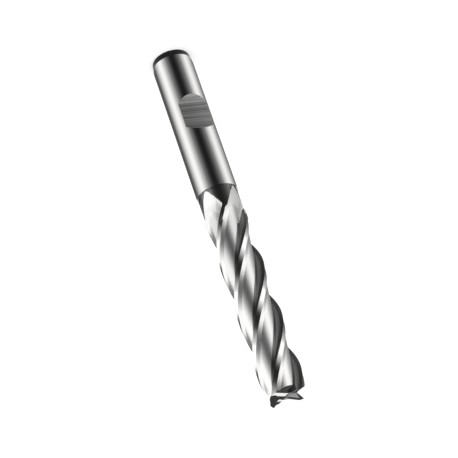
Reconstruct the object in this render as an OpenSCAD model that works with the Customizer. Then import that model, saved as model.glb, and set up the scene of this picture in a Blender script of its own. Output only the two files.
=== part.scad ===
// Four-flute centre-cutting end mill, ground from one bar of high-speed steel.
// It stands on the end face of its shank: Z runs from there to the cutting tip,
// and the clamping flat on the shank faces -Y. Cuts and spirals to the right.

/* [Overall] */
// Length from the shank's end face to the tooth corners
overall_len = 94; // [85:0.5:105]

/* [Shank] */
// Diameter of the plain shank
shank_d = 10; // [9:0.1:11]
// Length of the plain shank
shank_len = 40; // [36:0.5:46]
// Height of the long chamfer at the shank's end face
rear_chamfer_len = 1.7; // [0.5:0.05:3]
// How far that chamfer comes in from the shank's surface
rear_chamfer_depth = 0.35; // [0.2:0.05:0.8]
// Hair of a step in radius, not on the real tool, that parts off a fully round shank in front of the flat
front_undersize = 0.002; // [0.001:0.001:0.004]

/* [Clamping flat] */
// Length of the level floor of the flat
flat_len = 6.9; // [5:0.1:9]
// Depth of the floor below the shank's surface
flat_depth = 1.4; // [0.8:0.05:2]
// Height of the middle of the flat above the shank's end face
flat_center = 18.8; // [14:0.1:24]
// Length of each sloped end of the flat, along the shank
flat_ramp_len = 1.6; // [0.8:0.1:2.5]

/* [Neck] */
// Step from the shank's surface down to the neck
neck_step = 0.25; // [0.1:0.05:0.4]
// Length of the neck, up to where the teeth reach their full diameter
neck_len = 5.7; // [4:0.1:8]
// Length of the cone between the neck and the full diameter
neck_cone_len = 0.5; // [0.2:0.1:1.5]

/* [Teeth] */
// Diameter over the cutting edges
cutter_d = 10; // [9.4:0.1:11]
// Angle between a cutting edge and the tool's axis
helix_angle = 29.5; // [24:0.5:36]
// Turn of the first long tooth's corner about Z, counted from +X
tip_angle = -24.5; // [-60:0.5:60]
// Width of the narrow land behind each cutting edge
land_width = 1.2; // [0.8:0.05:1.5]
// Slope of that land below the tangent at the edge
land_relief = 18; // [12:1:22]
// Width of the steep facet behind the land
facet_width = 1.05; // [0.6:0.05:1.2]
// Slope of the steep facet below the tangent at the edge
facet_relief = 54; // [48:1:62]
// Inward slope of the tooth's back along the flute
back_slope = 15.5; // [10:0.5:20]
// Lag from the edge at which the back meets the gullet
back_end_lag = 66; // [60:1:72]
// Radius of the gullet at the foot of the rake face
gullet_radius = 0.8; // [0.5:0.05:0.9]
// Length of the straight rake face under each edge
rake_len = 0.95; // [0.6:0.05:1.3]
// Hook of the rake face ahead of the radius
rake_angle = 12; // [4:1:16]

/* [Flute run-out] */
// Length by which the run-out scoops reach back past the shank's front edge
scoop_overrun = 0.7; // [0.2:0.1:1.2]
// Radius of the scoops, seen from the side
scoop_radius = 17.3; // [14:0.1:22]
// Height above the shank at which the scoop's middle is set out
scoop_height = 5; // [3:0.1:7]
// Lag of the scoop's middle behind the edge at that height
scoop_lag = 52; // [44:1:60]

/* [End teeth] */
// Dish of the end edges towards the centre
end_dish = 2; // [0:0.5:4]
// Width of the land behind each end edge
end_land_width = 1.1; // [0.7:0.1:1.5]
// Slope of that land
end_land_relief = 8; // [4:1:12]
// Slope of the clearance behind the end land
end_back_relief = 22; // [16:1:26]
// Opening angle of the gashes ahead of the end edges
gash_angle = 60; // [50:1:66]
// Depth of the gashes at the tool's axis
gash_depth = 1; // [0.6:0.1:1.4]
// Outward fall of the gashes
gash_fall = 12; // [6:1:20]
// How far the long teeth's gashes pass the axis
gash_long_reach = 0.5; // [0.2:0.1:0.8]
// Distance from the axis at which the short teeth's gashes begin
gash_short_start = 1.2; // [0.9:0.1:1.8]

/* [Hidden] */

$fn = 96;
overlap = 0.8;
front_margin = 0.5;
teeth = 4;
pitch = 360 / teeth;
ring_gap = 1.3;
scoop_ring_gap = 0.7;
scoop_half_turn = 75;
scoop_tail = 0.5;
hook_gap = 1.5;
back_steps = 6;
gullet_steps = 7;
radian = 180 / PI;

shank_r = shank_d / 2;
neck_r = shank_r - neck_step;
cutter_r = cutter_d / 2;
lead = PI * cutter_d / tan(helix_angle);
turn_per_mm = 360 / lead;
front_from = flat_center + flat_len / 2 + flat_ramp_len + front_margin;
scoop_start = shank_len - scoop_overrun;
scoop_mid = shank_len + scoop_height;
scoop_end = scoop_mid + scoop_height - scoop_tail;
neck_end = shank_len + neck_len;

// One tooth and the flute behind it, as [lag, radius, spread lag] about the axis.
// The lag is the angle behind the cutting edge. The spread lag is where the point
// goes on plain round stock, where the hooked rake face has no place.
function polar(p) = [atan2(p.x, p.y), norm(p)];
function on_back(p) = [p[0], p[1], p[0]];
land_end = [land_width * cos(land_relief), cutter_r - land_width * sin(land_relief)];
heel = land_end + facet_width * [cos(facet_relief), -sin(facet_relief)];
heel_polar = polar(heel);
function back_point(lag) =
    [lag, heel_polar[1] * exp(-tan(back_slope) * (lag - heel_polar[0]) / radian)];
rake_foot = [rake_len * sin(rake_angle), cutter_r - rake_len * cos(rake_angle)];
gullet_center = rake_foot - gullet_radius * [cos(rake_angle), sin(rake_angle)];
gullet_from = back_end_lag + back_slope - pitch;
gullet_to = 90 + rake_angle;
function gullet_polar(part) =
    let (turn = gullet_from + (gullet_to - gullet_from) * part)
    polar(gullet_center + gullet_radius * [sin(turn), -cos(turn)]) + [pitch, 0];
spread_from = gullet_polar(0)[0];
spread_to = pitch - hook_gap;
function gullet_point(part) =
    let (p = gullet_polar(part))
    [p[0], p[1], spread_from + (spread_to - spread_from) * part];
section = concat(
    [on_back([0, cutter_r]), on_back(polar(land_end)), on_back(heel_polar)],
    [for (i = [1:back_steps])
        on_back(back_point(heel_polar[0] + (back_end_lag - heel_polar[0]) * i / back_steps))],
    [for (i = [0:gullet_steps - 1]) gullet_point(i / (gullet_steps - 1))]
);
points_per_tooth = len(section);
points_per_ring = teeth * points_per_tooth;

// Radius left by the straight run-out scoop that ends each flute
function scoop_depth(z) = pow(max(0, z - scoop_start), 2) / (2 * scoop_radius);
function scoop_radius_at(z, lag) =
    let (off = (z - scoop_mid) * turn_per_mm + scoop_lag - lag)
    abs(off) > scoop_half_turn ? cutter_r : max(0, neck_r - scoop_depth(z)) / cos(off);
function stock_radius(z) =
    z <= neck_end ? neck_r
    : z >= neck_end + neck_cone_len ? max(cutter_r, neck_r)
    : neck_r + (max(cutter_r, neck_r) - neck_r) * (z - neck_end) / neck_cone_len;
function body_radius(z, p) =
    z >= scoop_end ? p[1] : min(stock_radius(z), max(p[1], scoop_radius_at(z, p[2])));
function body_lag(z, p, r) =
    p[0] == p[2] ? p[0] : p[2] + (p[0] - p[2]) * (stock_radius(z) - r) / (stock_radius(z) - p[1]);

function ring_point(z, tooth, p) =
    let (
        r = body_radius(z, p),
        a = tip_angle + tooth * pitch - body_lag(z, p, r) + (z - overall_len) * turn_per_mm
    )
    [r * cos(a), r * sin(a), z];
function ring(z) = [for (tooth = [teeth - 1:-1:0]) for (p = section) ring_point(z, tooth, p)];

scoop_rings = ceil((scoop_end - shank_len) / scoop_ring_gap);
flute_rings = ceil((overall_len - scoop_end) / ring_gap);
ring_heights = concat(
    [shank_len - overlap],
    [for (i = [0:scoop_rings]) shank_len + (scoop_end - shank_len) * i / scoop_rings],
    [for (i = [1:flute_rings]) scoop_end + (overall_len - scoop_end) * i / flute_rings]
);

// A flat end of the fluted body, as triangles. The hooked rake faces lean over
// the gullet, so the points above the gullet's widest place are tied to the
// heel of the tooth that they belong to, and the rest to the middle.
heel_index = 2;
hook_index = points_per_tooth - 3;
function cap_faces(first, middle) = [
    for (t = [0:teeth - 1])
    let (
        here = first + t * points_per_tooth,
        next = first + ((t + 1) % teeth) * points_per_tooth,
        next_heel = next + heel_index
    )
    each concat(
        [for (i = [heel_index:hook_index - 1]) [middle, here + i, here + i + 1]],
        [[middle, here + hook_index, next_heel]],
        [for (i = [hook_index:points_per_tooth - 2]) [next_heel, here + i, here + i + 1]],
        [[next_heel, here + points_per_tooth - 1, next]],
        [[next_heel, next, next + 1]]
    )
];
function side_faces(rings) = [
    for (j = [0:rings - 2])
    for (i = [0:points_per_ring - 1])
    let (
        a = j * points_per_ring + i,
        b = j * points_per_ring + (i + 1) % points_per_ring,
        c = a + points_per_ring,
        d = b + points_per_ring
    )
    each [[a, b, c], [b, d, c]]
];
function turned_over(faces) = [for (f = faces) [f[2], f[1], f[0]]];

// Neck, flutes and teeth, with square ends
module fluted_body() {
    rings = len(ring_heights);
    bottom_middle = rings * points_per_ring;
    top_middle = bottom_middle + 1;
    bottom_fan = [
        for (i = [0:points_per_ring - 1]) [i, bottom_middle, (i + 1) % points_per_ring]
    ];
    polyhedron(
        points = concat(
            [for (z = ring_heights) each ring(z)],
            [[0, 0, ring_heights[0]], [0, 0, overall_len]]
        ),
        faces = concat(
            turned_over(bottom_fan),
            side_faces(rings),
            cap_faces((rings - 1) * points_per_ring, top_middle)
        )
    );
}

// Plain shank with its chamfered end face
module shank() {
    rotate_extrude()
        polygon([
            [0, 0],
            [shank_r - rear_chamfer_depth, 0],
            [shank_r, rear_chamfer_len],
            [shank_r, front_from],
            [shank_r - front_undersize, front_from],
            [shank_r - front_undersize, shank_len],
            [0, shank_len]
        ]);
}

// Room for the clamping flat, with its sloped ends
module clamping_flat() {
    floor_half = flat_len / 2;
    rise = 1;
    ramp_run = flat_ramp_len * (flat_depth + rise) / flat_depth;
    translate([-shank_r - rise, -shank_r, flat_center])
        rotate([90, 0, 90])
            linear_extrude(height = shank_d + 2 * rise)
                polygon([
                    [flat_depth, -floor_half],
                    [flat_depth, floor_half],
                    [-rise, floor_half + ramp_run],
                    [-rise, -floor_half - ramp_run]
                ]);
}

// Clearance behind one end edge, which runs out along +X
module end_clearance() {
    reach = cutter_d;
    land_fall = end_land_width * tan(end_land_relief);
    back_fall = land_fall + (reach - end_land_width) * tan(end_back_relief);
    translate([cutter_r, 0, overall_len])
        rotate([0, -end_dish, 0])
            translate([-cutter_r / cos(end_dish), 0, 0])
                rotate([90, 0, 90])
                    linear_extrude(height = reach)
                        polygon([
                            [0, 0],
                            [-end_land_width, -land_fall],
                            [-reach, -back_fall],
                            [-reach, reach / 2],
                            [0, reach / 2]
                        ]);
}

// Gash ahead of one end edge, from its inner end outwards
module gash(inner) {
    reach = cutter_d;
    height = 3 * gash_depth;
    translate([0, 0, overall_len - gash_depth])
        rotate([0, gash_fall, 0])
            translate([inner, 0, 0])
                rotate([90, 0, 90])
                    linear_extrude(height = reach)
                        polygon([
                            [0, 0],
                            [height * tan(gash_angle), height],
                            [0, height]
                        ]);
}

// Everything ground away at the cutting end
module end_grinding() {
    for (tooth = [0:teeth - 1])
        rotate([0, 0, tip_angle + tooth * pitch]) {
            end_clearance();
            gash(tooth % 2 == 0 ? -gash_long_reach : gash_short_start);
        }
}

// The whole tool, one piece
module endmill() {
    color("silver")
        difference() {
            union() {
                shank();
                fluted_body();
            }
            clamping_flat();
            end_grinding();
        }
}

endmill();
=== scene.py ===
# %% [markdown]
# A four-flute end mill with a plain round shank. It is ground from one bar of
# high-speed steel, so it is one piece here too, standing on the end face of its
# shank with the cutting end up. It could be sculpted, but every face of a ground
# tool comes from a simple motion of a wheel, so this mesh is worked out from the
# sizes of the CAD part and is only finer. Sizes are written in millimetres and
# turned into metres once.

# %% The fixed frame
from math import atan2, ceil, cos, degrees, exp, hypot, pi, radians, sin, tan

import bmesh
import bpy
from mathutils import Matrix, Quaternion, Vector


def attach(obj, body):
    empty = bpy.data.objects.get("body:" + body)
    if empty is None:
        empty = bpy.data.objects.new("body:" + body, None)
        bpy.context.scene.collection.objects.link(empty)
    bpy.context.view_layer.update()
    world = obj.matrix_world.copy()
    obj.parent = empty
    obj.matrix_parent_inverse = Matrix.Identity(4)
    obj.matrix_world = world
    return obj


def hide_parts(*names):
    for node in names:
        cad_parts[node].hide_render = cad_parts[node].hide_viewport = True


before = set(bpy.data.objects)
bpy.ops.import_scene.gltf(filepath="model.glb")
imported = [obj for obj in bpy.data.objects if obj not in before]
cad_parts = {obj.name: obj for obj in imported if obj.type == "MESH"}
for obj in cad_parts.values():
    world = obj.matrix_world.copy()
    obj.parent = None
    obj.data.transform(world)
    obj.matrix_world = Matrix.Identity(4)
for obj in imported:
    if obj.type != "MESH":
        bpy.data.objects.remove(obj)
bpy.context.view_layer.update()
MM = 0.001
print("nodes in the frame:", len(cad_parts))

# %% [markdown]
# The main sizes of the tool. The shank is 10 mm with a clamping flat, a slightly
# thinner neck follows, and the teeth run from there to the tip. The helix angle
# is the angle between a cutting edge and the axis. The lead, which is the length
# of one full turn, could be typed in as well, but it follows from that angle and
# the radius, so it is worked out and can't disagree with them.

# %% Sizes of the tool, in millimetres and degrees
tool_length = 94
shank_radius, shank_length = 5, 40
rear_chamfer_length, rear_chamfer_depth = 1.7, 0.35
neck_radius, neck_length, neck_cone_length = 4.75, 5.7, 0.5
cutter_radius, teeth = 5, 4
helix_angle, tip_angle = 29.5, -24.5
pitch = 360 / teeth
lead = 2 * pi * cutter_radius / tan(radians(helix_angle))
turn_per_mm = 360 / lead
print("lead of the helix:", round(lead, 2), "mm")

# %% [markdown]
# One tooth, seen along the axis. Behind the cutting edge come a narrow land and
# a steeper facet, then the long back that sinks like a spiral towards the gullet,
# and the gullet turns up into the hooked rake face of the next tooth. It could be
# drawn by hand as a curve. Here straight lines, a spiral and an arc are worked
# out from widths and angles, so the edges lie where the CAD part has them. Each
# point is kept as its lag behind the edge, its radius, and the lag that it would
# take on plain round stock, because the run-out near the shank needs all three.

# %% The outline of one tooth and its flute
land_width, land_relief = 1.2, 18
facet_width, facet_relief = 1.05, 54
back_slope, back_end_lag = 15.5, 66
gullet_radius, rake_length, rake_angle = 0.8, 0.95, 12
hook_gap = 1.5
spread_end = pitch - hook_gap
land_points, facet_points, back_points, gullet_points, rake_points = 8, 5, 22, 15, 3


def polar(x, y):
    """Lag behind the cutting edge in degrees, and radius."""
    return degrees(atan2(x, y)), hypot(x, y)


def along(start, end, count):
    """Points from start to end on a straight line, without the first."""
    steps = [i / count for i in range(1, count + 1)]
    return [(start[0] + (end[0] - start[0]) * s, start[1] + (end[1] - start[1]) * s) for s in steps]


def tooth_outline():
    edge = (0, cutter_radius)
    slope, steep = radians(land_relief), radians(facet_relief)
    land_end = (land_width * cos(slope), cutter_radius - land_width * sin(slope))
    heel = (land_end[0] + facet_width * cos(steep), land_end[1] - facet_width * sin(steep))
    flats = [edge] + along(edge, land_end, land_points) + along(land_end, heel, facet_points)
    points = [(lag, r, lag) for lag, r in (polar(*p) for p in flats)]
    heel_lag, heel_r = polar(*heel)
    for i in range(1, back_points + 1):
        lag = heel_lag + (back_end_lag - heel_lag) * i / back_points
        points.append((lag, heel_r * exp(-tan(radians(back_slope)) * radians(lag - heel_lag)), lag))
    hook = radians(rake_angle)
    rake_foot = (rake_length * sin(hook), cutter_radius - rake_length * cos(hook))
    middle = (rake_foot[0] - gullet_radius * cos(hook), rake_foot[1] - gullet_radius * sin(hook))
    turn_from, turn_to = back_end_lag + back_slope - pitch, 90 + rake_angle
    curve = []
    for i in range(1, gullet_points + 1):
        turned = radians(turn_from + (turn_to - turn_from) * i / gullet_points)
        curve.append((middle[0] + gullet_radius * sin(turned), middle[1] - gullet_radius * cos(turned)))
    curve += along(rake_foot, edge, rake_points)[:-1]
    for i, p in enumerate(curve):
        lag, r = polar(*p)
        points.append((lag + pitch, r, back_end_lag + (spread_end - back_end_lag) * (i + 1) / len(curve)))
    return points


outline = tooth_outline()
print("points round one tooth:", len(outline))

# %% [markdown]
# The steel. All of it is bare metal with the fine lines that a wheel leaves, and
# only the milled flat has coarse ones. Photographs of real grinding marks could
# be used, but noise that is stretched along one direction gives such lines at any
# size, needs no picture and stays in place on the tool. Fine lines are bump
# alone, and coarse ones change the tone as well.

# %% A steel with lines
steel_tint = (1, 0.993, 0.982)
line_detail, line_height = 3, 0.00001
dark_stop, light_stop = 0.36, 0.64


def tinted(tone):
    return (*(tone * part for part in steel_tint), 1)


def steel(name, tone, roughness, line_scale, bump, metallic=1.0, tone_spread=0.0):
    """Bare steel with lines: the noise is stretched by line_scale along X, Y and Z."""
    material = bpy.data.materials.new(name)
    material.use_nodes = True
    nodes, links = material.node_tree.nodes, material.node_tree.links
    shader = nodes["Principled BSDF"]
    shader.inputs["Base Color"].default_value = tinted(tone)
    shader.inputs["Metallic"].default_value = metallic
    shader.inputs["Roughness"].default_value = roughness
    place = nodes.new("ShaderNodeTexCoord")
    stretch = nodes.new("ShaderNodeMapping")
    stretch.inputs["Scale"].default_value = line_scale
    noise = nodes.new("ShaderNodeTexNoise")
    noise.inputs["Scale"].default_value = 1
    noise.inputs["Detail"].default_value = line_detail
    relief = nodes.new("ShaderNodeBump")
    relief.inputs["Strength"].default_value = bump
    relief.inputs["Distance"].default_value = line_height
    links.new(place.outputs["Object"], stretch.inputs["Vector"])
    links.new(stretch.outputs["Vector"], noise.inputs["Vector"])
    links.new(noise.outputs["Fac"], relief.inputs["Height"])
    links.new(relief.outputs["Normal"], shader.inputs["Normal"])
    if tone_spread:
        ramp = nodes.new("ShaderNodeValToRGB")
        for stop, place_at, side in zip(ramp.color_ramp.elements, (dark_stop, light_stop), (-1, 1)):
            stop.position, stop.color = place_at, tinted(tone * (1 + side * tone_spread))
        links.new(noise.outputs["Fac"], ramp.inputs["Fac"])
        links.new(ramp.outputs["Color"], shader.inputs["Base Color"])
    return material


print("steel tint:", steel_tint)

# %% [markdown]
# The finishes. The shank and the flutes are ground bright, and the flat is milled
# and dull. One steel for all would be simpler, but on the real tool each face has
# met another wheel, and that is what tells them apart. So they differ in tone, in
# roughness and in the direction of their lines. The long chamfer at the end face,
# the neck, the gullets, the rake faces and the walls of the short gashes get dark
# tones, which is painted shade, and the flat's upper ramp gets a lighter tone than
# its floor, which is painted light. Some have Metallic below 1. Steel is all metal,
# so that is a setting for the look: it makes a coarse cut scatter light to all
# sides. One row holds name, tone, roughness, lines and bump, and then, where they
# aren't plain, Metallic and the spread of the tone.

# %% The finishes
shank_lines, flat_lines = (60, 60, 9000), (50, 50, 1900)
flute_lines, even_grain = (60, 60, 900), (900, 900, 900)

finish_rows = [
    ("ground_shank", 0.9, 0.12, shank_lines, 0.1),
    ("milled_flat", 0.19, 0.6, flat_lines, 0.4, 0.3, 0.36),
    # Painted light: the flat's upper ramp, which faces up, gets a lighter tone than the floor.
    ("milled_ramp_painted_light", 0.28, 0.6, flat_lines, 0.4, 0.3, 0.36),
    # Painted shade: the long chamfer at the end face and the neck get dark tones for what they reflect.
    ("chamfer_painted_shade", 0.013, 0.4, shank_lines, 0.2),
    ("neck_painted_shade", 0.2, 0.2, shank_lines, 0.1),
    ("run_out", 0.97, 0.5, flute_lines, 0.1, 0.85),
    ("land", 0.9, 0.12, flute_lines, 0.1),
    ("facet", 0.97, 0.3, flute_lines, 0.1, 0.88),
    ("tooth_back", 0.97, 0.38, flute_lines, 0.1, 0.95),
    # Painted shade: the gullet and the rake face get dark tones for the shade and dark reflections between
    # the teeth.
    ("gullet", 0.26, 0.4, flute_lines, 0.1),
    ("rake", 0.13, 0.4, flute_lines, 0.1),
    ("end_land", 0.9, 0.06, even_grain, 0.1),
    ("end_relief", 0.8, 0.06, even_grain, 0.1),
    ("long_gash", 0.55, 0.6, even_grain, 0.1, 0.3),
    # Painted shade: the upright walls of the short gashes are near black.
    ("short_gash_painted_shade", 0.07, 0.5, even_grain, 0.1, 0.5),
]
finishes = {row[0]: steel(*row) for row in finish_rows}
finish_names = list(finishes)
finish_index = {name: i for i, name in enumerate(finish_names)}
print("finishes:", len(finishes))

# %% [markdown]
# The flutes are cut by a wheel that follows the helix. Blender could do this with
# a Screw modifier, but here the spin operator turns one ring of points about the
# axis while it rises, because spin copies what is kept on each point, such as its
# lag, to every height. The steps are fine where the flutes run out towards the
# neck, and longer above.

# %% The helical sweep of the section
run_out_from, run_out_to = shank_length, 49.5
fine_steps, long_steps = 76, 100

tool = bmesh.new()
lag_of = tool.verts.layers.float.new("lag")
radius_of = tool.verts.layers.float.new("radius")
spread_of = tool.verts.layers.float.new("spread")
sunk_of = tool.verts.layers.float.new("sunk")
lift_of = tool.verts.layers.float.new("lift")


def section_ring(z):
    """The closed ring of edges of the whole section at height z."""
    ring = []
    for tooth in reversed(range(teeth)):
        for lag, r, spread in outline:
            a = radians(tip_angle + tooth * pitch - lag + (z - tool_length) * turn_per_mm)
            v = tool.verts.new((r * cos(a), r * sin(a), z))
            v[lag_of], v[radius_of], v[spread_of] = lag, r, spread
            ring.append(v)
    return [tool.edges.new((v, ring[(i + 1) % len(ring)])) for i, v in enumerate(ring)]


def sweep(edges, rise, steps):
    """Spins a ring of edges up the helix and returns the last ring."""
    made = bmesh.ops.spin(tool, geom=edges, cent=(0, 0, 0), axis=(0, 0, 1), dvec=(0, 0, rise / steps),
                          angle=radians(rise * turn_per_mm), steps=steps)
    return [e for e in made["geom_last"] if isinstance(e, bmesh.types.BMEdge)]


first_ring = section_ring(run_out_from)
middle_ring = sweep(first_ring, run_out_to - run_out_from, fine_steps)
tip_ring = sweep(middle_ring, tool_length - run_out_to, long_steps)
print("faces after the sweep:", len(tool.faces))

# %% [markdown]
# Towards the shank the flutes run out into the neck, as the wheel leaves each
# flute in a straight scoop with its own radius. A Boolean with four wheels can
# leave thin slivers there. Moving the points is cleaner: each one stays inside the
# round stock and comes no deeper than the flute or the scoop, with a soft change
# between them, which narrows to nothing over the last stretch. How far a point
# lies below the stock, and how far the scoop stands above the flute there, are
# kept for the finishes.

# %% The run-out of the flutes into the neck
scoop_start, scoop_radius = 39.3, 17.3
scoop_middle, scoop_lag, scoop_half_turn, scoop_fade = 45, 52, 75, 12
blend_width, blend_taper = 0.2, 2
neck_end = shank_length + neck_length


def stock_radius(z):
    part = min(1, max(0, (z - neck_end) / neck_cone_length))
    return neck_radius + (cutter_radius - neck_radius) * part


def scoop_at(z, spread):
    """Radius of the scoop, and how fully it counts: it fades out towards the cutting edge."""
    off = (z - scoop_middle) * turn_per_mm + scoop_lag - spread
    depth = max(0, z - scoop_start) ** 2 / (2 * scoop_radius)
    share = min(1, max(0, (scoop_half_turn - off) / scoop_fade))
    return (max(0, neck_radius - depth) / cos(radians(off)) if share else 0), share


def eased_max(a, b, ease):
    """The larger of two radii, with a soft change from one to the other."""
    return (a + b + hypot(a - b, ease)) / 2


def set_run_out(v):
    z, lag, r, spread = v.co.z, v[lag_of], v[radius_of], v[spread_of]
    if z >= run_out_to:
        return
    stock, (scoop, share) = stock_radius(z), scoop_at(z, spread)
    ease = blend_width * min(1, (run_out_to - z) / blend_taper)
    cut_r = min(stock, eased_max(r, scoop, ease))
    new_r = min(stock, r) + (cut_r - min(stock, r)) * share
    new_lag = lag if lag == spread else spread + (lag - spread) * min(1, (stock - new_r) / (stock - r))
    a = atan2(v.co.y, v.co.x) + radians(lag - new_lag)
    v.co = (new_r * cos(a), new_r * sin(a), z)
    v[sunk_of], v[lift_of] = stock - new_r, (scoop - r) * share


for v in tool.verts:
    set_run_out(v)
print("run-out from", run_out_from, "to", run_out_to, "mm")

# %% [markdown]
# The shank is a ground cylinder with a long chamfer at its end face, whose dark
# tone is painted shade. A cylinder of its own would leave a seam at the neck.
# Instead the neck's first ring is pulled outwards and down in a few steps, so the
# body stays one closed skin.

# %% The shank
shank_ring_heights = (32, 24, 13, 7)


def pull_ring(edges, radius, z):
    """Extrudes a ring of edges to a round ring of this radius at this height."""
    made = bmesh.ops.extrude_edge_only(tool, edges=edges)["geom"]
    for v in (g for g in made if isinstance(g, bmesh.types.BMVert)):
        a = atan2(v.co.y, v.co.x)
        v.co = (radius * cos(a), radius * sin(a), z)
    return [g for g in made if isinstance(g, bmesh.types.BMEdge)]


ring = pull_ring(first_ring, shank_radius, shank_length)
for z in (*shank_ring_heights, rear_chamfer_length):
    ring = pull_ring(ring, shank_radius, z)
rear_ring = pull_ring(ring, shank_radius - rear_chamfer_depth, 0)
bmesh.ops.holes_fill(tool, edges=rear_ring)
bmesh.ops.holes_fill(tool, edges=tip_ring)
bmesh.ops.recalc_face_normals(tool, faces=tool.faces)
print("open edges:", sum(e.is_boundary for e in tool.edges))

# %% [markdown]
# Each face of the swept body now gets its finish. A wheel grinds one strip of the
# tooth outline at a time, so the strip that a face belongs to says what it looks
# like, and the gullet and rake strips also get the dark tones of painted shade.
# Choosing by the way a face points would be shorter, but it makes ragged borders.
# By strips, the finishes meet exactly along the edges of the tooth. At the
# run-out, a face is part of a scoop where the scoop stands above the flute, and
# the bright scoop ends in the painted shade of the gullet along a slanting line.

# %% The finish of each strip
land_end_lag = outline[land_points][0]
heel_end_lag = outline[land_points + facet_points][0]
rake_from = back_end_lag + (spread_end - back_end_lag) * gullet_points / (gullet_points + rake_points - 1)
neck_skin, height_hair = 0.004, 0.01
bright_to, bright_slope = 50.2, 0.22
end_face_normal = -0.9


def mean_of(layer, face):
    return sum(v[layer] for v in face.verts) / len(face.verts)


def finish_of(face):
    """The finish of a face, from its height and its strip of the tooth outline."""
    z, place = face.calc_center_median().z, mean_of(spread_of, face)
    if z < rear_chamfer_length:
        return "chamfer_painted_shade" if face.normal.z > end_face_normal else "ground_shank"
    if z < shank_length + height_hair:
        return "ground_shank"
    if z < neck_end + neck_cone_length and mean_of(sunk_of, face) < neck_skin:
        return "neck_painted_shade"
    if z < run_out_to and mean_of(lift_of, face) > 0 and place > land_end_lag:
        return "run_out"
    if back_end_lag < place and z < bright_to - bright_slope * (place - back_end_lag):
        return "run_out"
    across_edge = max(v[spread_of] for v in face.verts) - min(v[spread_of] for v in face.verts) > pitch / 2
    if across_edge or place > rake_from:
        return "rake"
    if place < land_end_lag:
        return "land"
    if place < heel_end_lag:
        return "facet"
    return "tooth_back" if place < back_end_lag else "gullet"


for face in tool.faces:
    face.normal_update()
    face.material_index = finish_index[finish_of(face)]
print({name: sum(f.material_index == i for f in tool.faces) for name, i in finish_index.items()})

# %% [markdown]
# The clamping flat is milled into the shank with a sloped end on each side, so
# that a holder's screw can bear on its floor. The flat could be pushed in by
# moving points, as the run-out is, but its edges are crisp and cross the round
# shank at an angle, so a block that is cut away gives them better. The block is a
# prism, and its own material stays on the faces that it cuts.

# %% A block to cut away, and the flat's block
flat_length, flat_depth, flat_center, flat_ramp = 6.9, 1.4, 18.8, 1.6
flat_block_rise, flat_block_width = 1, 14


def block(name, finish, corners, length, place):
    """A prism: a polygon of (y, z) corners, extruded along +X and then placed."""
    bm = bmesh.new()
    face = bm.faces.new([bm.verts.new((0, y, z)) for y, z in corners])
    made = bmesh.ops.extrude_face_region(bm, geom=[face])["geom"]
    far_corners = [g for g in made if isinstance(g, bmesh.types.BMVert)]
    bmesh.ops.translate(bm, verts=far_corners, vec=(length, 0, 0))
    bmesh.ops.recalc_face_normals(bm, faces=bm.faces)
    bmesh.ops.transform(bm, matrix=place, verts=bm.verts)
    mesh = bpy.data.meshes.new(name)
    bm.to_mesh(mesh)
    bm.free()
    mesh.materials.append(finishes[finish])
    return bpy.data.objects.new(name, mesh)


def turn(angle, axis):
    return Matrix.Rotation(radians(angle), 4, axis)


def move(x, y, z):
    return Matrix.Translation((x, y, z))


def flat_block():
    half, rise = flat_length / 2, flat_block_rise
    run = flat_ramp * (flat_depth + rise) / flat_depth
    corners = [(flat_depth, -half), (flat_depth, half), (-rise, half + run), (-rise, -half - run)]
    place = move(-flat_block_width / 2, -shank_radius, flat_center)
    return block("flat_cut", "milled_flat", corners, flat_block_width, place)


cuts = [flat_block()]
print("floor of the flat:", flat_length, "mm long,", flat_depth, "mm deep")

# %% [markdown]
# The end of the tool. Each tooth has an end edge with a narrow land and a relief
# behind it, and a V-shaped gash ahead of it that makes room for the chips. Two
# opposite teeth have long gashes and reach the centre, and the other two have
# short ones. The faces could be modelled one by one, but the real ones are plain
# cuts of a wheel, and a relief block and a gash block turned to each tooth repeat
# that. The photograph shows the walls of the short gashes nearly black and those
# of the long ones lighter, so they get two finishes, and the near-black walls of
# the short gashes are painted shade.

# %% The blocks at the end of each tooth
end_dish, end_land_width, end_land_relief, end_back_relief = 2, 1.1, 8, 22
gash_angle, gash_depth, gash_fall = 60, 1, 12
gash_long_reach, gash_short_start = 0.5, 1.2
gash_block_height = 3 * gash_depth
end_block_length = 2 * cutter_radius


def relief_block(tooth):
    reach = end_block_length
    land_fall = end_land_width * tan(radians(end_land_relief))
    back_fall = land_fall + (reach - end_land_width) * tan(radians(end_back_relief))
    top = reach / 2
    corners = [(0, 0), (-end_land_width, -land_fall), (-reach, -back_fall), (-reach, top), (0, top)]
    tilt = move(cutter_radius, 0, tool_length) @ turn(-end_dish, "Y")
    tilt = tilt @ move(-cutter_radius / cos(radians(end_dish)), 0, 0)
    return block("relief_cut", "end_relief", corners, reach, turn(tip_angle + tooth * pitch, "Z") @ tilt)


def gash_block(tooth):
    reaches_centre = tooth % 2 == 0
    finish = "end_relief" if reaches_centre else "short_gash_painted_shade"
    height = gash_block_height
    corners = [(0, 0), (height * tan(radians(gash_angle)), height), (0, height)]
    inner = -gash_long_reach if reaches_centre else gash_short_start
    tilt = move(0, 0, tool_length - gash_depth) @ turn(gash_fall, "Y") @ move(inner, 0, 0)
    return block("gash_cut", finish, corners, end_block_length, turn(tip_angle + tooth * pitch, "Z") @ tilt)


for tooth in range(teeth):
    cuts += [relief_block(tooth), gash_block(tooth)]
print("blocks to cut away:", len(cuts))

# %% [markdown]
# On the real tool the wheel takes the steel away, and here Boolean modifiers do,
# one for each block. They are then applied, so what is left is one plain mesh.
# Blender has several Boolean solvers. The Manifold solver is used, because it
# keeps the skin closed at the crowded tip, where the Exact one can leave open edges.

# %% The cuts
def to_object(bm, name):
    mesh = bpy.data.meshes.new(name)
    bm.to_mesh(mesh)
    made = bpy.data.objects.new(name, mesh)
    bpy.context.scene.collection.objects.link(made)
    return made


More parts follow.
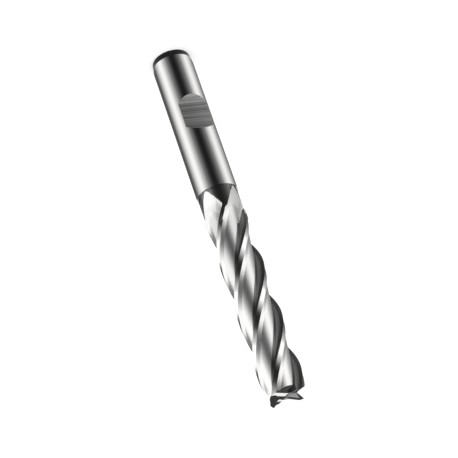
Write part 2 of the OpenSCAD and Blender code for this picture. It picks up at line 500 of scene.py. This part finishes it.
def grind_away(body, blocks):
    for i, cut in enumerate(blocks):
        bpy.context.scene.collection.objects.link(cut)
        step = body.modifiers.new(f"cut_{i}", "BOOLEAN")
        step.operation, step.solver, step.object = "DIFFERENCE", "MANIFOLD", cut
    seen = body.evaluated_get(bpy.context.evaluated_depsgraph_get())
    finished = bpy.data.meshes.new_from_object(seen)
    body.modifiers.clear()
    body.data = finished
    for cut in blocks:
        bpy.data.objects.remove(cut, do_unlink=True)


endmill = to_object(tool, "endmill_body")
for material in finishes.values():
    endmill.data.materials.append(material)
grind_away(endmill, cuts)
print("faces after the cuts:", len(endmill.data.polygons))

# %% [markdown]
# The cut mesh is scaled to metres. The blocks gave one finish to all their faces,
# and the way that a face points now tells a level end land, an upright gash wall
# and the flat's upper ramp from the rest. The upper ramp faces up and gets a
# lighter tone than the flat's floor, which is painted light. An edge is kept sharp
# where the faces meet at a clear angle or where the finish changes, but not inside
# the flute, where one wheel has made one smooth surface. A bevel on each edge is
# another way, but a ground tool's edges are too sharp to show one. A few slivers
# from the cuts stay, because merging their corners would leave an edge that four
# faces share.

# %% The last finishes, and the sharp edges
sharp_angle = 24
level_normal, sloped_normal = 0.97, 0.3
flute_finishes = {"tooth_back", "run_out", "gullet", "rake"}
end_finishes = {"end_land", "end_relief", "long_gash", "short_gash_painted_shade"}


def last_finish(name, up):
    """The finish of a face of the cut mesh, from its first one and how far it faces up."""
    if name == "end_relief" and up > level_normal:
        return "end_land"
    if name == "end_relief" and abs(up) < sloped_normal:
        return "long_gash"
    if name == "short_gash_painted_shade" and abs(up) > sloped_normal:
        return "end_relief"
    # Faces of the flat that look up get the lighter tone of painted light.
    if name == "milled_flat" and up > sloped_normal:
        return "milled_ramp_painted_light"
    return name


skin = bmesh.new()
skin.from_mesh(endmill.data)
bmesh.ops.scale(skin, vec=(MM, MM, MM), verts=skin.verts)
bmesh.ops.recalc_face_normals(skin, faces=skin.faces)
for face in skin.faces:
    face.smooth = True
    face.material_index = finish_index[last_finish(finish_names[face.material_index], face.normal.z)]
for edge in skin.edges:
    names = {finish_names[face.material_index] for face in edge.link_faces}
    one_surface = len(names) == 1 or names <= flute_finishes
    edge.smooth = edge.is_manifold and one_surface and not names & end_finishes \
        and edge.calc_face_angle() < radians(sharp_angle)
open_edges = sum(not e.is_manifold for e in skin.edges)
skin.to_mesh(endmill.data)
print("faces:", len(skin.faces), "open edges:", open_edges)

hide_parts("endmill")
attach(endmill, "root")

# %% [markdown]
# The stage: a plain white floor and a plain white surround. A floor of white
# paint would still turn grey where little light falls. So it gives a little light
# of its own to the camera and to reflections alone, which keeps it white in both,
# and it keeps the tool's soft shadow.

# %% Floor and surround
surround_strength = 1.0
floor_half_size, floor_tone, floor_glow = 2, 0.55, 0.5


def white_world(strength):
    world = bpy.data.worlds.new("white_surround")
    world.use_nodes = True
    world.node_tree.nodes["Background"].inputs["Color"].default_value = (1, 1, 1, 1)
    world.node_tree.nodes["Background"].inputs["Strength"].default_value = strength
    bpy.context.scene.world = world


def math_node(nodes, operation):
    node = nodes.new("ShaderNodeMath")
    node.operation = operation
    return node


def white_floor():
    bm = bmesh.new()
    bmesh.ops.create_grid(bm, x_segments=1, y_segments=1, size=floor_half_size)
    floor = to_object(bm, "floor")
    material = bpy.data.materials.new("white_floor")
    material.use_nodes = True
    nodes, links = material.node_tree.nodes, material.node_tree.links
    shader = nodes["Principled BSDF"]
    shader.inputs["Base Color"].default_value = (floor_tone, floor_tone, floor_tone, 1)
    shader.inputs["Roughness"].default_value = 1
    shader.inputs["Specular IOR Level"].default_value = 0
    shader.inputs["Emission Color"].default_value = (1, 1, 1, 1)
    path = nodes.new("ShaderNodeLightPath")
    seen, seen_too, share = (math_node(nodes, kind) for kind in ("ADD", "ADD", "MULTIPLY"))
    share.inputs[1].default_value = floor_glow
    links.new(path.outputs["Is Camera Ray"], seen.inputs[0])
    links.new(path.outputs["Is Glossy Ray"], seen.inputs[1])
    links.new(seen.outputs[0], seen_too.inputs[0])
    links.new(path.outputs["Is Transmission Ray"], seen_too.inputs[1])
    links.new(seen_too.outputs[0], share.inputs[0])
    links.new(share.outputs[0], shader.inputs["Emission Strength"])
    floor.data.materials.append(material)
    return floor


white_world(surround_strength)
floor = white_floor()
print("floor at z =", floor.location.z)

# %% [markdown]
# Round bright steel in an all-white room looks flat white. Photographers stand
# graded cards round it, and the dark streaks along it are their reflections. A
# painted-on gradient would stay on the steel in every view. A card is light, so
# its streaks move as real ones do. The first card is a ring round the shank. It
# stands closer than a real card could, so that the shank and the teeth can have
# cards of their own. Only reflections see it. In front its tones were chosen by
# comparing the render with the photograph, and behind it has bright stretches, so
# that the shank reads as bright steel from there too.

# %% Graded cards, and the one round the shank
camera_azimuth = 23.876
shank_card_radius, shank_card_foot, card_joint = 6.5, 0.02, 39.3


def graded(stops, step=3):
    """Brightness between a few set stops, at even steps."""
    out = []
    for (a, t), (b, u) in zip(stops, stops[1:]):
        count = max(1, ceil((b - a) / step))
        out += [(a + (b - a) * i / count, t + (u - t) * i / count) for i in range(count)]
    return out + [stops[-1]]


def lit_by_tone(bm, name):
    """Finishes a card: it gives the light of its tone, and only reflections see it."""
    made = to_object(bm, name)
    material = bpy.data.materials.new(name)
    material.use_nodes = True
    nodes, links = material.node_tree.nodes, material.node_tree.links
    nodes.remove(nodes["Principled BSDF"])
    tone = nodes.new("ShaderNodeVertexColor")
    tone.layer_name = "tone"
    glow = nodes.new("ShaderNodeEmission")
    links.new(tone.outputs["Color"], glow.inputs["Color"])
    links.new(glow.outputs["Emission"], nodes["Material Output"].inputs["Surface"])
    made.data.materials.append(material)
    made.visible_camera = made.visible_diffuse = made.visible_shadow = made.visible_transmission = False
    return made


def card(name, radius, low, high, stops):
    """A bent card. Stops are (azimuth from the camera, to the right in the picture; brightness)."""
    bm = bmesh.new()
    tone_of = bm.loops.layers.float_color.new("tone")
    columns = []
    for azimuth, tone in graded(stops):
        a = radians(camera_azimuth - azimuth - 90)
        x, y = radius * cos(a), radius * sin(a)
        foot, head = (bm.verts.new(Vector((x, y, z)) * MM) for z in (low, high))
        columns.append((foot, head, tone))
    for (a, b, t), (c, d, u) in zip(columns, columns[1:]):
        face = bm.faces.new((a, c, d, b))
        for loop, value in zip(face.loops, (t, u, u, t)):
            loop[tone_of] = (value, value, value, 1)
    return lit_by_tone(bm, name)


shank_stops = [(-90, 0.085), (-80, 0.12), (-69, 0.37), (-57, 0.76), (-46, 1.06), (-38, 1.0), (-27, 0.58),
               (-15, 0.19), (-9, 0.11), (-3, 0.035), (3, 0.013), (12, 0.014), (21, 0.06), (33, 0.22),
               (45, 0.7), (55, 1.0), (65, 0.86), (81, 0.46), (93, 0.25), (108, 0.15), (124, 0.12),
               (136, 0.35), (150, 0.9), (160, 1.0), (172, 0.35), (182, 0.06), (194, 0.06), (208, 0.4),
               (220, 0.9), (228, 0.7), (238, 0.12), (270, 0.085)]
card("shank_card", shank_card_radius, shank_card_foot, card_joint, shank_stops)
print("shank card:", len(graded(shank_stops)), "columns")

# %% [markdown]
# A front and a back card stand round the teeth, with gaps at both sides where the
# white room shows. The front one is nearly black in the middle, and that is the
# dark band down each flute. The back one could be left out, as the room is white,
# but then the far sides of the teeth would shine and the outline would be lost.
# Like the shank's ring, it has two bright stretches for the view from behind.

# %% The cards round the teeth
tooth_card_radius, front_card_top, back_card_top = 9, 97, 90

front_stops = [(-50, 1.0), (-44, 0.72), (-36, 0.5), (-27, 0.25), (-18, 0.06), (-8, 0.02), (4, 0.02),
               (12, 0.06), (18, 0.2), (26, 0.5), (33, 0.8), (38, 1.0)]
back_stops = [(66, 1.0), (75, 0.6), (87, 0.4), (99, 0.26), (111, 0.18), (126, 0.13), (138, 0.4), (152, 1.0),
              (164, 0.8), (176, 0.12), (190, 0.08), (202, 0.5), (214, 1.0), (224, 0.5), (234, 0.08),
              (255, 0.08), (260, 0.3), (266, 0.8), (270, 1.0)]
card("front_card", tooth_card_radius, card_joint, front_card_top, front_stops)
card("back_card", tooth_card_radius, card_joint, back_card_top, back_stops)
print("tooth cards:", len(graded(front_stops)), "and", len(graded(back_stops)), "columns")

# %% [markdown]
# Three small cards serve one place each. The neck card is a low ring that makes
# the scoop on the left white, the one on the right grey and the neck dark. The
# corner card keeps the right-hand corner of the tip dark, and the tip card shades
# the end faces from behind. The finishes could be made darker there instead, but
# the same finish is bright at its other end, so it has to come from the light.

# %% The small cards
neck_card_top, corner_card_top = 44.5, 93
tip_card_foot, tip_card_top = 94.4, 99.5

neck_stops = [(-112, 0.3), (-105, 0.4), (-96, 0.35), (-85, 0.26), (-76, 0.32), (-68, 0.61), (-60, 1.1),
              (-30, 1.1), (-19, 0.93), (-11.5, 0.27), (-4, 0.126), (4, 0.068), (11.5, 0.06), (19, 0.088),
              (27, 0.143), (34.5, 0.27), (42, 0.49), (50, 0.7), (58, 0.9)]
corner_stops = [(70, 0.5), (80, 0.1), (130, 0.1)]
tip_stops = [(120, 0.05), (240, 0.05)]
card("neck_card", shank_card_radius, card_joint, neck_card_top, neck_stops)
card("corner_card", tooth_card_radius, back_card_top, corner_card_top, corner_stops)
card("tip_card", tooth_card_radius, tip_card_foot, tip_card_top, tip_stops)
print("small cards:", len(graded(neck_stops)), "columns at the neck")

# %% [markdown]
# Dark paper lies on the floor round the tool, and a dark round card hangs high
# above it. Faces that look down see the first and the end faces see the second,
# and without them both would be as white as the room. Each could be a plain
# disc, but a spun line of points can carry a tone that changes from its middle to
# its rim.

# %% The dark sheet and the top card
sheet_height, top_card_height = 0.02, 194
sheet_stops = [(6.6, 0.15), (25, 0.12), (40, 0.045), (95, 0.045), (140, 1.0)]
top_stops = [(0, 0.05), (114, 0.05), (118, 1.0)]
ring_width, round_steps = 10, 72


def round_sheet(name, height, stops):
    """A level round sheet. Stops are (radius; brightness)."""
    bm = bmesh.new()
    tone_of = bm.verts.layers.float_color.new("tone")
    line = []
    for r, tone in graded(stops, ring_width):
        v = bm.verts.new((r * MM, 0, height * MM))
        v[tone_of] = (tone, tone, tone, 1)
        line.append(v)
    edges = [bm.edges.new(pair) for pair in zip(line, line[1:])]
    bmesh.ops.spin(bm, geom=edges, cent=(0, 0, 0), axis=(0, 0, 1), angle=2 * pi, steps=round_steps,
                   use_merge=True)
    return lit_by_tone(bm, name)


dark_sheet = round_sheet("dark_sheet", sheet_height, sheet_stops)
top_card = round_sheet("top_card", top_card_height, top_stops)
print("faces of the round sheets:", len(dark_sheet.data.polygons), "and", len(top_card.data.polygons))

# %% [markdown]
# One large soft lamp hangs over the tool and shades the floor a little. A small
# lamp would give a hard shadow and a hot spot on the shank. The white surround
# does the rest.

# %% Lamp
lamp_size, lamp_power = 1.2, 6
lamp_place = (0.3, -0.2, 1.5)


def soft_lamp(name):
    light = bpy.data.lights.new(name, "AREA")
    light.shape, light.size, light.energy = "SQUARE", lamp_size, lamp_power
    lamp = bpy.data.objects.new(name, light)
    lamp.location = lamp_place
    lamp.rotation_mode = "QUATERNION"
    lamp.rotation_quaternion = (-Vector(lamp_place)).to_track_quat("-Z", "Y")
    bpy.context.scene.collection.objects.link(lamp)
    return lamp


print("lamp at", [round(x, 2) for x in soft_lamp("overhead").location], "m")

# %% [markdown]
# The camera stands where the photograph was taken from: about 24 degrees round
# from the side of the flat, looking down at 29 degrees, and rolled over so that
# the cutting end points down to the right. The tool could be laid over instead,
# but it stays upright at the origin, which keeps it ready for use, and the camera
# does all the turning.

# %% Camera
camera_elevation, camera_roll = 28.708, 160.8
camera_place = (147.73, -333.75, 249.48)
camera_lens, sensor_width = 141.48, 36
picture_size, shift_pixels = 458, 0.5
nearest, farthest = 0.01, 10


def set_camera():
    a, e = radians(camera_azimuth), radians(camera_elevation)
    back = Vector((sin(a) * cos(e), -cos(a) * cos(e), sin(e)))
    data = bpy.data.cameras.new("camera")
    data.lens, data.sensor_width = camera_lens, sensor_width
    data.clip_start, data.clip_end = nearest, farthest
    data.shift_x, data.shift_y = -shift_pixels / picture_size, shift_pixels / picture_size
    camera = bpy.data.objects.new("camera", data)
    camera.rotation_mode = "QUATERNION"
    level = (-back).to_track_quat("-Z", "Y")
    camera.rotation_quaternion = level @ Quaternion((0, 0, 1), radians(camera_roll))
    camera.location = Vector(camera_place) * MM
    bpy.context.scene.collection.objects.link(camera)
    bpy.context.scene.camera = camera
    return camera


camera = set_camera()
bpy.context.scene.view_settings.view_transform = "Standard"
bpy.context.view_layer.update()
print("camera axes:", [tuple(round(x, 4) for x in column[:3]) for column in camera.matrix_world.col[:3]])
